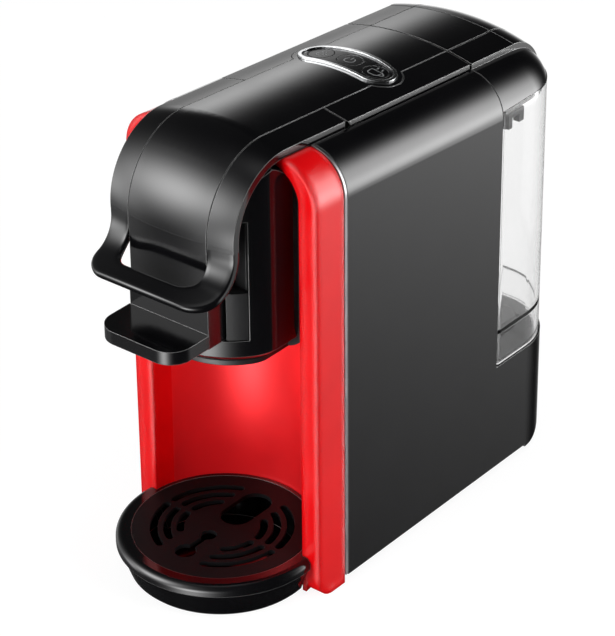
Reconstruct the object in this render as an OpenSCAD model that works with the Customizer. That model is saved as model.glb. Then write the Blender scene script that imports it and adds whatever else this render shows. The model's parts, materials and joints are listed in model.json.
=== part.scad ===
// Pod coffee machine with a hand lever, a pull-out capsule holder and a lift-off tank.
// Millimetres, +Z up. The modules work from the cup's axis; at_cup() moves them so
// that the origin is the middle of the footprint, on the table.

/* [Overall] */
// Width across the side shells
body_w = 120; // [119:0.5:121]
// Reach of the body behind the cup's axis
rear_reach = 220; // [219:0.5:222]
// Reach of the finger tab in front of the cup's axis
tab_reach = 60.2; // [59.5:0.1:61]
// Fall of the top towards the rear, in degrees
top_slope = 4; // [3.8:0.1:4.2]
// Height of the casing's lower edge above the table
casing_bottom = 3.5; // [3.3:0.1:3.8]
// Wall of the casing parts
wall = 2.4; // [2.2:0.1:2.6]

/* [Fits] */
// Gap between pieces that move past each other
slip_gap = 0.3; // [0.3:0.05:0.4]
// Radial clearance of a running fit
running_gap = 0.05; // [0.03:0.01:0.08]
// Seam between fixed covers
seam = 0.4; // [0.3:0.05:0.5]

/* [Crowned band over the top] */
// Radius of the crown across the band
crown_r = 155; // [150:1:160]
// Radius of the bend from the front to the top
arc_r = 42.1; // [41.8:0.1:42.4]
// Place of the bend's axis behind the cup's axis
arc_y = 6.5; // [6.3:0.1:6.7]
// Height of the bend's axis
arc_z = 211.2; // [211:0.1:211.5]
// Half width of the middle strip
strip_half = 24.5; // [24.3:0.1:24.7]
// Half width across the lever's arms
arm_half = 38.5; // [38.3:0.1:38.7]
// Half width of the band behind the arms
band_half = 39.5; // [39.3:0.1:39.7]
// Thickness of the band's covers
band_t = 2.4; // [2.2:0.1:2.6]

/* [Casing] */
// Radius of the casing's upper edges
corner_r = 22; // [21.8:0.1:22.2]
// Depth of the casing's flat top below the crown
deck_drop = 8.2; // [8:0.1:8.4]
// Radius of the rear corners, seen from above
plan_r = 38; // [36:1:40]
// Radius of the lower rear edge, seen from the side
heel_r = 36; // [34:1:37]
// Front edge of the side shells
shell_front = 28; // [28:0.1:28.4]
// Front of the tank
tank_front = 154; // [153.8:0.1:154.4]
// Height of the shelf that the tank stands on
shelf_z = 67.5; // [67:0.1:68]

/* [Front frame] */
// Front of the red frame's wings
frame_front = 4.7; // [4.5:0.1:4.9]
// Rear of the red frame
frame_back = 25.6; // [25.4:0.1:25.8]
// Radius of the cup niche
niche_r = 49; // [48.8:0.1:49.2]
// Radius of the wings' feet
foot_r = 11; // [10:0.5:12]
// Height of the frame's lower end
frame_low = 0.8; // [0.6:0.1:1]

/* [Head] */
// Half width of the head's cover
head_half = 40; // [39.8:0.1:40.2]
// Reach of the head's cover in front of the cup's axis
head_reach = 31.4; // [31:0.1:31.8]
// Radius of the head's cheeks, seen from above
cheek_r = 22; // [21.5:0.5:22.5]
// Lower edge of the head's cover
head_low = 139.5; // [139:0.1:140]
// Rear edge of the head's cover
head_back = 15; // [14.8:0.1:15.2]
// Half width of the black core around the cover
core_half = 43.5; // [43.2:0.1:43.8]
// Lower face of the core
core_low = 136; // [135.6:0.1:136.4]
// Half width of the core's front window beside the holder
window_half = 34; // [33.8:0.1:34.2]
// Height of the ledge below the window
ledge_z = 180; // [179.5:0.5:180.5]
// Upper edge of the window
window_top = 218; // [217:0.5:219]
// Height of the chamfer round the cover's lower edge
chamfer_h = 5.5; // [5:0.1:6]
// Depth of the chamfer round the cover's lower edge
chamfer_in = 6; // [5.5:0.1:6.2]

/* [Capsule holder] */
// Half width of the holder
holder_half = 24.8; // [24.7:0.05:24.9]
// Front face of the holder
holder_front = 34.5; // [34.2:0.1:34.8]
// Lower face of the holder
holder_low = 154.3; // [154:0.1:154.6]
// Upper face of the holder
holder_top = 178; // [177.8:0.1:178.2]
// Radius of the holder's well for the adapter
well_r = 19.5; // [19.3:0.1:19.7]
// Thickness of the finger tab
tab_t = 7; // [6.5:0.1:7.2]
// Radius of the tab's corners
tab_r = 12; // [11:0.5:13]

/* [Lever] */
// Place of the lever's axis behind the cup's axis
pivot_y = 41; // [40.8:0.1:41.2]
// Height of the lever's axis
pivot_z = 233.5; // [233.3:0.1:233.7]
// Rear end of the lever's arms
arm_back = 53.6; // [53.4:0.1:53.7]
// Thickness of the lever's arms
arm_t = 3.8; // [3.6:0.1:4]
// Radius of the lever's shaft
shaft_r = 4; // [3.9:0.1:4.1]
// Throw of the crank
crank_r = 8; // [7.9:0.1:8.1]
// Radius of the crank pins
crank_pin_r = 2.5; // [2.4:0.1:2.6]
// Opening angle of the lever
lever_open = 72; // [70:1:72]
// Height where the band begins to flare forwards
flare_z = 208.5; // [208:0.1:209]
// Radius of the flare
flare_r = 11.3; // [11:0.1:11.6]
// Angle of the flare and of the nose
flare_angle = 72; // [71:0.5:73]
// Straight run between the flare and the nose
bar_run = 8.4; // [8:0.1:8.8]
// Radius of the nose of the bar
nose_r = 9.5; // [9.3:0.1:9.7]
// Lower edge of the bar
bar_low = 181.6; // [181:0.1:182]

/* [Control panel] */
// Half length between the centres of the panel's ends
panel_end_x = 17.7; // [17.5:0.1:17.9]
// Radius of the panel's ends
panel_end_r = 10.8; // [10.6:0.1:11]
// Radius of the panel's rear edge
panel_rear_r = 62; // [60:1:64]
// Rear edge of the panel behind the cup's axis
panel_rear_y = 115; // [114.8:0.1:115.2]
// Width of the silver ring
bezel_w = 1.9; // [1.7:0.1:2.1]
// Radius of a key
key_r = 6.6; // [6.4:0.1:6.8]

/* [Tray] */
// Radius of the tray's rim at the front
tray_r = 54.5; // [54.3:0.1:54.7]
// Radius of the tray inside the niche
tray_rear_r = 48.5; // [48.4:0.05:48.6]
// Height of the tray's rim and of the plate
tray_top = 24.5; // [24.3:0.1:24.7]
// Lower face of the bowl
tray_low = 2.6; // [2.5:0.1:2.8]
// Radius of the slotted plate
grille_r = 46; // [45.8:0.1:46.1]
// Thickness of the slotted plate
grille_t = 2.2; // [2:0.1:2.4]
// Width of a slot in the plate
slot_w = 4; // [3.8:0.1:4.2]

/* [Tank] */
// Upper edge of the tank
tank_top = 216.4; // [216.2:0.1:216.6]
// Inset of the tank from the casing's side
tank_inset = 0.8; // [0.7:0.1:1]
// Wall of the tank
tank_wall = 2.2; // [2:0.1:2.4]
// Height of the tank's inner floor
tank_floor = 87.5; // [87:0.1:88]
// Radius of the bend at the lid's rear
lid_arc_r = 31.1; // [31:0.1:31.2]

/* [Hidden] */
$fn = 96;

half_w = body_w / 2;
origin_shift = (tab_reach - rear_reach) / 2;
top_angle = 90 - top_slope;
deck_half = half_w - corner_r;
front_face = arc_r - arc_y;
cover_low = holder_top + 1;
niche_wall = niche_r + wall;
fork_y = pivot_y - crank_r * cos(lever_open / 2);
fork_z = pivot_z - crank_r * sin(lever_open / 2);
lid_arc_y = rear_reach - lid_arc_r;
lid_arc_z = arc_z + arc_r * cos(top_slope) - (lid_arc_y - arc_y - arc_r * sin(top_slope))
    * tan(top_slope) - lid_arc_r * cos(top_slope);
gland_r = 4.9;
screw_x = 44;
screw_y = [74, 134];
gland_z = 48;
key_x = [-17.2, 0, 17.2];
key_y = [101.9, 103.3, 101.9];
guide_bore = 8;
stem_r = guide_bore - running_gap;
// Front face and lower end of the nose, worked out along the band
bar_front = front_face + flare_r * (1 - cos(flare_angle)) + bar_run * sin(flare_angle)
    - nose_r * cos(flare_angle) + nose_r;
nose_z = flare_z - flare_r * sin(flare_angle) - bar_run * cos(flare_angle)
    - nose_r * sin(flare_angle);
// Disc of the piston, flange of the capsule's adapter, and the yoke that the crank drives
disc_low = holder_top + 2.6;
disc_t = 5.4;
disc_r = 18;
adapter_flange = 21.5;
yoke_in = 7;
yoke_t = 4.5;
yoke_top = fork_z + 6.2 + 2 * crank_r * sin(lever_open / 2);
// Valve in the tank's floor, its seat in the dock, and the board below the keys
valve_x = 0;
valve_y = (tank_front + rear_reach) / 2 - 1;
valve_r = 8;
seat_z = shelf_z + 3.9;
board_z = -11;

// A straight run laps into the bend it joins, sunk by a skin so that their faces don't meet
lap = 0.5;
skin = 0.03;

// Height of the crown's middle line at a place behind the arc
function crown_z(y) = arc_z + arc_r * cos(top_slope)
    - (y - arc_y - arc_r * sin(top_slope)) * tan(top_slope);
// Distance along the sloping top from the end of the bend
function run(y) = (y - arc_y - arc_r * sin(top_slope)) / cos(top_slope);
// Distance of the arm's rear upper edge from the lever's axis, at a place across the arm
function arm_reach(x) = norm([arm_back - pivot_y, crown_z(arm_back) - x ^ 2 / (2 * crown_r) - pivot_z]);

module at_cup() translate([0, origin_shift, 0]) children();
// The child's x and y become the model's Y and Z, and its height becomes X
module side_view(thick) rotate([90, 0, 90]) linear_extrude(thick, center = true) children();
// Both sides of the machine
module both_sides() for (s = [0, 1]) mirror([s, 0, 0]) children();
// Tilted frame: its Y runs along the sloping top, its Z leaves the top squarely
module top_frame() translate([0, arc_y, arc_z]) rotate([-top_slope, 0, 0]) children();

// Section of the crowned band: x is the distance from the bend's axis, y is the model's X
module crown_section(x0, x1, t, r) {
    intersection() {
        translate([r - crown_r, 0]) difference() {
            circle(crown_r, $fn = 180);
            circle(crown_r - t, $fn = 180);
        }
        translate([0, x0]) square([r + 1, x1 - x0]);
    }
}
// Slab across the whole machine, which cuts a band to its width
module width_slab(x0, x1) {
    translate([x0, -200, -20]) cube([x1 - x0, 500, 320]);
}
// Crowned strip on the sloping top between two places, its top raised by lift
module crown_top(x0, x1, t, y0, y1, lift = 0) {
    translate([0, arc_y, arc_z]) rotate([90, 0, 90]) rotate([0, 0, top_angle])
        rotate([90, 0, 0]) translate([0, 0, run(y0)]) linear_extrude(run(y1) - run(y0))
            crown_section(x0, x1, t + lift, arc_r + lift);
}
// Crowned strip from low_z at the front, over the bend, to back_y on the top
module crown_strip(x0, x1, t, back_y, low_z) {
    crown_top(x0, x1, t, arc_y + arc_r * sin(top_slope), back_y);
    translate([0, arc_y, arc_z]) rotate([90, 0, 90]) {
        rotate([0, 0, top_angle]) rotate_extrude(angle = 180 - top_angle)
            crown_section(x0, x1, t, arc_r);
        rotate([0, 0, 180]) rotate([90, 0, 0]) translate([0, 0, low_z - arc_z])
            linear_extrude(arc_z - low_z + lap) crown_section(x0, x1, t - 2 * skin, arc_r - skin);
    }
}

// Outline of a rectangle with round corners, centred
module round_rect(w, d, r) {
    square([w - 2 * r, d], center = true);
    square([w, d - 2 * r], center = true);
    for (sx = [-1, 1], sy = [-1, 1]) translate([sx * (w / 2 - r), sy * (d / 2 - r)]) circle(r);
}

// Cross-section of the casing in the tilted frame, shrunk by o
module casing_section(o) {
    corner_z = arc_r - deck_drop - corner_r;
    translate([-half_w + o, -280]) square([2 * (half_w - o), 280 + corner_z]);
    translate([-deck_half, -280]) square([2 * deck_half, 280 + corner_z + corner_r - o]);
    for (s = [-1, 1]) translate([s * deck_half, corner_z]) circle(corner_r - o);
}
// Casing section run along the sloping top, cut upright at two places
module casing_prism(o, y0, y1) {
    intersection() {
        top_frame() translate([0, rear_reach + 40, 0]) rotate([90, 0, 0])
            linear_extrude(rear_reach + 80) casing_section(o);
        translate([-half_w - 5, y0, -60]) cube([body_w + 10, y1 - y0, 360]);
    }
}
// Casing outline from above, shrunk by o, with round rear corners
module casing_plan(o, y0) {
    translate([-half_w + o, y0]) square([2 * (half_w - o), rear_reach - plan_r - y0]);
    translate([-half_w + plan_r, y0]) square([2 * (half_w - plan_r), rear_reach - o - y0]);
    for (s = [-1, 1]) translate([s * (half_w - plan_r), rear_reach - plan_r]) circle(plan_r - o);
}
// Casing outline from the side, shrunk by o: tall up to the tank, low below the tank
module casing_side(o) {
    translate([shell_front - o, casing_bottom]) square([tank_front - shell_front, 260]);
    translate([shell_front - o, casing_bottom]) square([rear_reach - heel_r - shell_front + o, shelf_z
        - o - casing_bottom]);
    translate([shell_front, casing_bottom + heel_r]) square([rear_reach - o - shell_front,
        shelf_z - o - casing_bottom - heel_r]);
    intersection() {
        translate([rear_reach - heel_r, casing_bottom + heel_r]) circle(heel_r - o);
        translate([shell_front, casing_bottom - 1]) square([rear_reach, shelf_z - o - casing_bottom + 1]);
    }
}
module casing(o) {
    intersection() {
        casing_prism(o, shell_front - 20, rear_reach + 20);
        side_view(body_w + 2) casing_side(o);
        linear_extrude(280) casing_plan(o, shell_front - o);
    }
}

// D-shaped outline of the head, grown by o: two cheeks and a flatter front arc
module head_plan(o, back) {
    front_y = ((head_half - cheek_r) ^ 2 - (head_reach - cheek_r) ^ 2)
        / (2 * (head_reach - cheek_r));
    front_r = head_reach + front_y;
    x = head_half - cheek_r;
    for (s = [-1, 1]) translate([s * x, 0]) circle(cheek_r + o);
    intersection() {
        translate([0, front_y]) circle(front_r + o, $fn = 144);
        polygon([[0, front_y], [x * 4, front_y - front_y * 4], [-x * 4, front_y - front_y * 4]]);
    }
    translate([-x, -front_y]) square([2 * x, front_y + back]);
    translate([-head_half - o, 0]) square([2 * (head_half + o), back]);
}

// Points along an arc
function arc_points(c, r, a0, a1, n) =
    [for (i = [0:n]) c + r * [cos(a0 + (a1 - a0) * i / n), sin(a0 + (a1 - a0) * i / n)]];
// Bean outline of the control panel in the tilted frame, grown by o: two round ends, a
// bulging rear edge and a slightly hollow front edge
module bean(o) {
    front_r = 162;
    rear_c = panel_rear_y - panel_rear_r - arc_y;
    end_y = rear_c + sqrt((panel_rear_r - panel_end_r) ^ 2 - panel_end_x ^ 2);
    front_c = end_y - sqrt((front_r + panel_end_r) ^ 2 - panel_end_x ^ 2);
    up = atan2(end_y - rear_c, panel_end_x);
    down = atan2(front_c - end_y, -panel_end_x);
    end_r = panel_end_r + o;
    polygon(concat(
        arc_points([panel_end_x, end_y], end_r, down, up, 16),
        arc_points([0, rear_c], panel_rear_r + o, up + 4, 176 - up, 8),
        arc_points([-panel_end_x, end_y], end_r, 180 - up, 180 - down, 16),
        arc_points([0, front_c], front_r - o, -down - 1.5, down + 181.5, 5)
    ));
}
// Slab that follows the crown, between two heights above it, cut to the child's outline
module panel_slab(bottom, top) {
    intersection() {
        top_frame() translate([0, 0, arc_r - 30]) linear_extrude(60) children();
        top_frame() translate([0, 70, arc_r - crown_r]) rotate([-90, 0, 0]) difference() {
            cylinder(h = 60, r = crown_r + top, $fn = 180);
            translate([0, 0, -1]) cylinder(h = 62, r = crown_r + bottom, $fn = 180);
        }
    }
}

// Right half of the casing: a shell that is open to the front, below and to the tank
module half_casing() {
    slot_half = 21;
    difference() {
        casing(0);
        casing(wall);
        translate([-half_w - 1, shell_front - 1, -1])
            cube([2 * half_w + 2, rear_reach - heel_r - shell_front, casing_bottom + wall]);
        translate([-half_w - 1, 0, -1]) cube([half_w + 1 + seam / 4, rear_reach + 2, 300]);
        translate([-1, shell_front - 2, 200]) cube([slot_half + 1, 200, 80]);
        translate([-1, shell_front - 2, 200]) cube([band_half + 1, pivot_y - shell_front + 26, 80]);
        translate([-1, tank_front + 9, shelf_z - 5]) cube([41, 42, 10]);
        translate([0, rear_reach - 10, gland_z]) rotate([-90, 0, 0])
            cylinder(h = 20, r = gland_r + 0.1, $fn = 64);
    }
    for (z = [30, 190]) translate([half_w - wall - 6, tank_front - 20, z]) screw_post();
}
module screw_post() {
    difference() {
        translate([-3, -3, 0]) cube([9.2, 6, 8]);
        translate([0, 0, -1]) cylinder(h = 10, r = 1.4, $fn = 32);
    }
}
module side_shell_right() { color("#1c1c1e") at_cup() half_casing(); }
module side_shell_left() { color("#1c1c1e") at_cup() mirror([1, 0, 0]) half_casing(); }

// Floor of the machine and the tongue below the tray
module base_plate() {
    tongue_r = 40;
    color("#161617") at_cup() difference() {
        union() {
            translate([0, 0, casing_bottom]) linear_extrude(wall)
                translate([-half_w + wall + seam, frame_back + 3])
                    square([body_w - 2 * wall - 2 * seam, rear_reach - heel_r - frame_back - 5]);
            translate([0, 0, tray_low - 1.8]) linear_extrude(1.5) {
                circle(tongue_r);
                translate([-tongue_r, 0]) square([2 * tongue_r, 66]);
            }
            translate([-tongue_r, 56, tray_low - 1.8]) cube([2 * tongue_r, 10, 4]);
        }
        for (s = [-1, 1], y = screw_y) translate([s * screw_x, y, 0])
            cylinder(h = 10, r = 1.8, $fn = 32);
        translate([0, 0, tray_low]) cylinder(h = 10, r = niche_wall + slip_gap, $fn = 144);
        for (i = [-4:4]) translate([i * 7 - 1.5, 96, 0]) cube([3, 30, 10]);
    }
}
module rubber_feet() {
    color("#0d0d0d") at_cup() {
        for (s = [-1, 1], y = [62, 172]) translate([s * 48, y, 0]) cylinder(h = casing_bottom, r = 6);
        translate([0, -28, 0]) cylinder(h = tray_low - 1.8, r = 7);
    }
}
module case_screws() {
    color("#8c8c90") at_cup() for (s = [-1, 1], y = screw_y) translate([s * screw_x, y, 0]) {
        translate([0, 0, casing_bottom - 1.6]) cylinder(h = 1.6, r = 3, $fn = 32);
        translate([0, 0, casing_bottom - 1]) cylinder(h = 9, r = 1.75, $fn = 32);
    }
}

// Opening of the frame from the front: the niche and the head's place, with a round top
module frame_opening() {
    top = crown_z(arc_y) - deck_drop - 4;
    r = 19;
    translate([-niche_r, -1]) square([2 * niche_r, top - r + 1]);
    translate([-niche_r + r, -1]) square([2 * (niche_r - r), top + 1]);
    for (s = [-1, 1]) translate([s * (niche_r - r), top - r]) circle(r);
}
// Red front frame with its wings and the half-round niche
module front_frame() {
    side = 0.5;
    color("#d2141c") at_cup() difference() {
        union() {
            difference() {
                wing_block(side, 0);
                translate([0, wall, 0]) intersection() {
                    wing_block(side + wall, wall);
                    difference() {
                        translate([-80, -20, 0]) cube([160, 100, 280]);
                        cylinder(h = 280, r = niche_wall, $fn = 144);
                    }
                }
            }
            intersection() {
                translate([0, 0, 3.2]) cylinder(h = core_low + 3 - 3.2, r = niche_wall, $fn = 144);
                translate([-80, frame_front, 0]) cube([160, 80, 280]);
            }
        }
        intersection() {
            translate([0, 0, -1]) cylinder(h = 282, r = niche_r, $fn = 144);
            rotate([90, 0, 0]) linear_extrude(200, center = true) frame_opening();
        }
        crown_strip(-band_half, band_half, arm_t + 0.6, frame_back + 5, arc_z - 5);
        translate([-yoke_in - yoke_t - 1, 0, arc_z])
            cube([2 * (yoke_in + yoke_t + 1), frame_back + 5, yoke_top + 1.2 - arc_z]);
    }
}
// Outer block of the frame, shrunk by o and raised by lift, with round feet
module wing_block(o, lift) {
    intersection() {
        casing_prism(o, frame_front, frame_back);
        translate([0, 0, lift]) side_view(body_w) {
            translate([frame_front, frame_low + foot_r]) square([30, 280]);
            translate([frame_front + foot_r, frame_low]) square([30, 280]);
            translate([frame_front + foot_r, frame_low + foot_r]) circle(foot_r);
        }
    }
}
// Silver arch between the front frame and the side shells
module shell_trim() {
    color("#c9ccd0") at_cup() difference() {
        casing_prism(0, frame_back + seam, shell_front - seam);
        casing_prism(wall + 1, 0, 60);
        translate([-band_half, 0, 200]) cube([2 * band_half, 60, 80]);
        translate([-half_w - 1, 0, -80]) cube([body_w + 2, 60, 80 + casing_bottom + 2]);
    }
}

// Side outline of the head, shrunk by o: round rear corners, kept below the band
module head_side(o, back, low, top_r) {
    r = 12;
    bend_r = 30;
    intersection() {
        union() {
            translate([-60, low]) square([60 + back - r, arc_z - low]);
            translate([-60, low + r]) square([60 + back, arc_z - low - r]);
            translate([back - r, low + r]) circle(r);
            translate([back - bend_r, arc_z + 4]) circle(bend_r);
        }
        union() {
            translate([arc_y, arc_z]) circle(top_r);
            translate([-60, low]) square([60 + back, arc_z - low]);
        }
    }
}
// Head outline run upwards, narrowing by a mm from z1 down to z0
module head_taper(a, z0, z1, o, back) {
    front_y = ((head_half - cheek_r) ^ 2 - (head_reach - cheek_r) ^ 2)
        / (2 * (head_reach - cheek_r));
    front_r = head_reach + front_y + o;
    x = head_half - cheek_r;
    h = z1 - z0;
    for (s = [-1, 1]) translate([s * x, 0, z0])
        cylinder(h = h, r1 = cheek_r + o - a, r2 = cheek_r + o);
    intersection() {
        translate([0, front_y, z0]) cylinder(h = h, r1 = front_r - a, r2 = front_r, $fn = 144);
        translate([0, 0, z0]) linear_extrude(h)
            polygon([[0, front_y], [x * 4, -3 * front_y], [-x * 4, -3 * front_y]]);
    }
    translate([0, back, z0]) rotate([90, 0, 0]) linear_extrude(back) polygon([
        [-head_half - o + a, 0], [head_half + o - a, 0], [head_half + o, h], [-head_half - o, h]
    ]);
    translate([-x, -front_y, z0]) cube([2 * x, front_y + back, h]);
}
// Glossy D-shaped cover around the head
module head_cover() {
    color("#222224") at_cup() difference() {
        intersection() {
            union() {
                head_taper(chamfer_in, head_low, head_low + chamfer_h, 0, head_back);
                translate([0, 0, head_low + chamfer_h]) linear_extrude(120)
                    head_plan(0, head_back);
            }
            side_view(2 * head_half + 2) head_side(0, head_back, head_low, 32.8);
        }
        head_taper(chamfer_in, head_low + wall, head_low + chamfer_h + wall, -wall, head_back + 1);
        translate([0, 0, head_low + chamfer_h + wall]) linear_extrude(120)
            head_plan(-wall, head_back + 1);
        translate([-strip_half - 0.8, -60, holder_low - 0.6])
            cube([2 * strip_half + 1.6, 90, 120]);
        translate([-window_half, -60, holder_low - 0.6])
            cube([2 * window_half, 60, window_top - holder_low + 0.6]);
        translate([0, 0, head_low - 1]) cylinder(h = 20, r = 10);
    }
}
// Black core of the head: tunnel for the holder, chamber and seat of the piston's guide
module head_core() {
    inset = wall + 0.3;
    color("#0e0e0f") at_cup() difference() {
        union() {
            intersection() {
                union() {
                    head_taper(chamfer_in, head_low + wall + 0.3, head_low + chamfer_h + wall + 0.3,
                        -inset, 28);
                    translate([0, 0, head_low + chamfer_h + wall + 0.3]) linear_extrude(120)
                        head_plan(-inset, 28);
                }
                side_view(2 * head_half) head_side(0, 28, core_low, 27.8);
            }
            intersection() {
                linear_extrude(280) head_plan(-0.2, 10);
                for (s = [-1, 1]) translate([s * (window_half + strip_half + 1) / 2, -24,
                    (holder_low + ledge_z) / 2 - 0.1])
                    cube([window_half - strip_half - 1.8, 40, ledge_z - holder_low - 0.2],
                        center = true);
            }
            intersection() {
                translate([0, 28, 0]) rotate([90, 0, 0]) linear_extrude(28 - head_back - seam)
                    translate([0, (core_low + 240) / 2])
                        round_rect(2 * core_half, 240 - core_low, 14);
                cylinder(h = 280, r = niche_r - 0.5, $fn = 144);
            }
            translate([0, 0, core_low]) linear_extrude(head_low - 0.3 - core_low)
                head_plan(-chamfer_in - 1.5, 27);
        }
        translate([-holder_half - slip_gap, -60, holder_low - slip_gap])
            cube([2 * (holder_half + slip_gap), 87, holder_top + 2 * slip_gap - holder_low]);
        translate([0, 0, holder_top]) cylinder(h = 19, r = 18.9);
        translate([0, 0, holder_top + 18]) cylinder(h = 12, r = 15);
        translate([-19, -16, holder_top + 29]) cube([38, 60, 60]);
        translate([0, 0, core_low - 1]) cylinder(h = 22, r = 9);
        for (s = [-1, 1]) translate([s * (window_half + strip_half + 1) / 2 - 5.2, -60, ledge_z])
            cube([10.4, 46, window_top - ledge_z]);
        translate([-strip_half - 0.6, -60, holder_top + 0.4])
            cube([2 * strip_half + 1.2, 60 - 26.5, 80]);
    }
}
// Crowned cover from the front over the top to the tank's lid, with the panel's boss
module centre_cover() {
    half = strip_half - seam / 2;
    back = tank_front - 2 * seam;
    color("#141416") at_cup() difference() {
        union() {
            intersection() {
                union() {
                    crown_strip(-half - 1, half + 1, band_t, back, cover_low);
                    both_sides() crown_strip(half - 2, half + 1, 6, arm_back + 0.8, cover_low);
                }
                width_slab(-half, half);
            }
            intersection() {
                crown_top(-33, 33, band_t, 80, 122);
                top_frame() linear_extrude(60) bean(2.9);
            }
        }
        top_frame() linear_extrude(60) bean(0.2);
    }
}
// Fixed cover behind a lever arm, cut back round the arm's sweep
module top_strip() {
    difference() {
        crown_top(strip_half + seam / 2, band_half, band_t, arm_back + 0.4, tank_front - 2 * seam);
        translate([strip_half, pivot_y, pivot_z]) rotate([0, 90, 0])
            cylinder(h = band_half + 0.1 - strip_half, r1 = arm_reach(strip_half) + slip_gap,
                r2 = arm_reach(band_half) + slip_gap);
        panel_slab(-8, 8) bean(2.9 + seam);
    }
}
module top_strip_right() { color("#141416") at_cup() top_strip(); }
module top_strip_left() { color("#141416") at_cup() mirror([1, 0, 0]) top_strip(); }

// Band of the lever: over the top, down the front, then forwards and down over the bar
module lever_sweep() {
    x = arm_half + 3;
    crown_strip(-x, x, arm_t, arm_back, flare_z);
    translate([0, -front_face - flare_r, flare_z]) rotate([90, 0, 90]) rotate([0, 0, -flare_angle]) {
        rotate_extrude(angle = flare_angle) flare_wall();
        rotate([90, 0, 0]) linear_extrude(bar_run) flare_wall();
        translate([flare_r + nose_r, -bar_run, 0]) rotate([0, 0, 180])
            rotate_extrude(angle = flare_angle) crown_section(-x, x, arm_t, nose_r);
    }
}
// Crowned section with the bend's axis on its outer side
module flare_wall() {
    intersection() {
        translate([flare_r + crown_r, 0]) circle(crown_r, $fn = 180);
        difference() {
            translate([0, -arm_half - 3]) square([flare_r + arm_t + 8, 2 * arm_half + 6]);
            translate([flare_r + arm_t + crown_r, 0]) circle(crown_r, $fn = 180);
        }
    }
}
// Outline of the lever from above: round corners that meet the bowed front
module lever_plan() {
    r = 14;
    bow = (arm_half - r) ^ 2 / (2 * crown_r) - 0.25;
    translate([-arm_half, -bar_front + bow + r]) square([2 * arm_half, 120]);
    translate([-arm_half + r, -bar_front - 3]) square([2 * (arm_half - r), 120]);
    for (s = [-1, 1]) translate([s * (arm_half - r), -bar_front + bow + r]) circle(r);
}
// Upright wall below the nose of the bar, seen from above
module bar_wall() {
    intersection() {
        difference() {
            translate([0, crown_r - bar_front + skin]) circle(crown_r, $fn = 180);
            translate([0, crown_r - bar_front + arm_t - skin]) circle(crown_r, $fn = 180);
        }
        lever_plan();
        translate([-60, -bar_front - 1]) square([120, 10]);
    }
}
module lever() {
    loop_half = 26.8;
    loop_front = 54;
    loop_r = 8;
    cheek_in = 28;
    cheek_t = 4;
    color("#19191b") at_cup() difference() {
        union() {
            difference() {
                intersection() {
                    lever_sweep();
                    linear_extrude(280) lever_plan();
                }
                translate([-strip_half - 0.2, -front_face - 1, 0]) cube([2 * strip_half + 0.4, 120, 280]);
                linear_extrude(280) {
                    translate([0, -loop_front / 2 - 17.5])
                        round_rect(2 * loop_half, loop_front - 35, loop_r);
                }
            }
            translate([0, 0, bar_low]) linear_extrude(nose_z + lap - bar_low) bar_wall();
            both_sides() translate([cheek_in + cheek_t / 2, 0, 0]) side_view(cheek_t) {
                translate([pivot_y, pivot_z]) circle(shaft_r + 4.5);
                translate([pivot_y - shaft_r - 4.5, pivot_z]) square([2 * shaft_r + 9, 10.5]);
            }
        }
        translate([0, pivot_y, pivot_z]) rotate([0, 90, 0])
            cylinder(h = 100, r = shaft_r + 0.02, center = true);
    }
}
// Shaft of the lever with the crank in its middle
module lever_shaft() {
    web_in = 13;
    web_t = 3;
    end_x = 34;
    color("#9a9ca0") at_cup() {
        both_sides() {
            translate([web_in, pivot_y, pivot_z]) rotate([0, 90, 0])
                cylinder(h = end_x - web_in, r = shaft_r, $fn = 64);
            translate([web_in + web_t / 2, 0, 0]) side_view(web_t)
                translate([pivot_y, pivot_z]) rotate([0, 0, 180 + lever_open / 2]) {
                    circle(shaft_r + 1.5);
                    translate([crank_r, 0]) circle(crank_pin_r + 1.5);
                    translate([0, -crank_pin_r - 1.5]) square([crank_r, 2 * crank_pin_r + 3]);
                }
        }
        translate([0, fork_y, fork_z]) rotate([0, 90, 0])
            cylinder(h = 2 * web_in + 1, r = crank_pin_r, center = true, $fn = 48);
    }
}
module lever_bushes() {
    color("#c8b273") at_cup() both_sides() translate([20, pivot_y, pivot_z]) rotate([0, 90, 0])
        difference() {
            cylinder(h = 6, r = 7);
            translate([0, 0, -1]) cylinder(h = 8, r = shaft_r + running_gap);
        }
}
// Piston with the yoke that the crank pin drives
module brew_piston() {
    slot_r = crank_pin_r + slip_gap;
    slot_y0 = pivot_y - crank_r;
    color("#3a3a3d") at_cup() {
        difference() {
            union() {
                translate([0, 0, disc_low]) cylinder(h = disc_t, r = disc_r);
                translate([0, 0, disc_low]) cylinder(h = fork_z - disc_low - 4, r = stem_r);
            }
            translate([0, 0, disc_low + 1.6]) difference() {
                cylinder(h = 2.4, r = disc_r + 1);
                translate([0, 0, -1]) cylinder(h = 5, r = disc_r - 1);
            }
        }
        translate([-yoke_in - yoke_t, -8, fork_z - 7]) cube([2 * (yoke_in + yoke_t), 16, 8]);
        both_sides() translate([yoke_in + yoke_t / 2, 0, 0]) side_view(yoke_t) difference() {
            translate([-8, fork_z - 7]) square([fork_y + 8 + 5.8, 13.2]);
            translate([slot_y0 - slip_gap, fork_z]) circle(slot_r, $fn = 48);
            translate([fork_y + slip_gap, fork_z]) circle(slot_r, $fn = 48);
            translate([slot_y0 - slip_gap, fork_z - slot_r])
                square([fork_y - slot_y0 + 2 * slip_gap, 2 * slot_r]);
        }
    }
}
module piston_seal() {
    color("#7a2a20") at_cup() translate([0, 0, disc_low + 1.7]) difference() {
        cylinder(h = 2.2, r = disc_r + 0.5);
        translate([0, 0, -1]) cylinder(h = 5, r = disc_r - 0.9);
    }
}
module piercing_needles() {
    color("#b9bcc0") at_cup() for (a = [0:120:359]) rotate([0, 0, a]) translate([9, 0, disc_low - 1.9])
        cylinder(h = 1.9, r1 = 0.2, r2 = 1, $fn = 24);
}
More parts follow.
